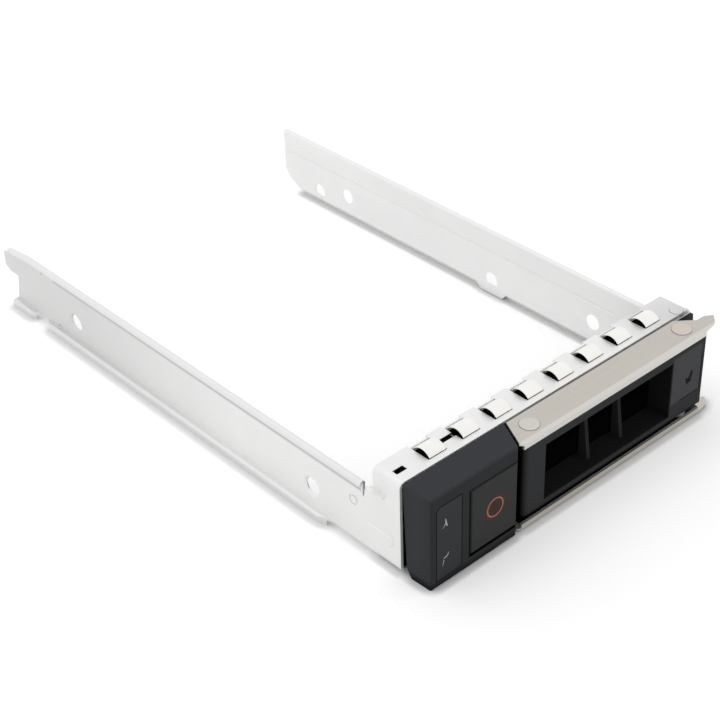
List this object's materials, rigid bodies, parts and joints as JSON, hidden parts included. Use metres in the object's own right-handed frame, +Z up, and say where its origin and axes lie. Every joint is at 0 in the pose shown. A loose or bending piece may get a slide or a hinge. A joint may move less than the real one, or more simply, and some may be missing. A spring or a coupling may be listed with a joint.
{
  "type": "server drive bay carrier",
  "caption": "Hot-swap carrier for a 3.5-inch drive: sheet-metal cage and side rails, spring fingers, moulded bezel with release button, and a swing-out latch handle.",
  "frame": {"origin": "middle of the bounding box in plan, on the surface that the carrier lies on", "axes": "+X to the right seen from the bezel, +Y back along the rails, +Z up"},
  "size_m": [0.1072, 0.1776, 0.0288],
  "materials": {
    "galvanized_sheet": "bright zinc plate, smooth",
    "spring_steel": "bright spring steel",
    "black_moulding": "matt black moulding",
    "charcoal_moulding": "fine matt charcoal moulding",
    "window_plastic": "satin dark window",
    "clear_plastic": "clear polished",
    "button_plastic": "satin black",
    "orange_ring": "satin orange",
    "satin_plate": "satin warm silver",
    "pin_steel": "turned pin, warm silver"
  },
  "bodies": {
    "carrier": {"carrier_frame": "galvanized_sheet", "spring_strip": "spring_steel", "front_frame": "black_moulding", "frame_rivet": "galvanized_sheet", "bezel_housing": "charcoal_moulding", "status_window": "window_plastic", "light_pipe_upper": "clear_plastic", "light_pipe_lower": "clear_plastic", "button_spring": "spring_steel", "latch_spring": "spring_steel"},
    "handle": {"handle_body": "charcoal_moulding", "handle_top_plate": "satin_plate", "handle_bottom_plate": "satin_plate", "handle_rivet": "satin_plate", "pivot_pin": "pin_steel", "handle_spring": "spring_steel"},
    "button": {"release_button": "button_plastic", "button_ring": "orange_ring"},
    "latch": {"latch_slider": "black_moulding"}
  },
  "joints": [
    {"name": "handle_swing", "type": "hinge", "parent": "carrier", "child": "handle", "pos_m": [0.0424, -0.0843, 0.0136], "axis": [0, 0, 1], "range_deg": [0, 25]},
    {"name": "button_press", "type": "slide", "parent": "carrier", "child": "button", "axis": [0, 1, 0], "range_m": [0, 0.0015], "stiffness_N_per_m": 300, "deforming": ["button_spring"]},
    {"name": "latch_slide", "type": "slide", "parent": "carrier", "child": "latch", "axis": [-1, 0, 0], "range_m": [0, 0.0015], "stiffness_N_per_m": 200, "deforming": ["latch_spring"]}
  ],
  "couplings": [
    {"joint": "latch_slide", "follows": "button_press", "ratio": 1}
  ]
}
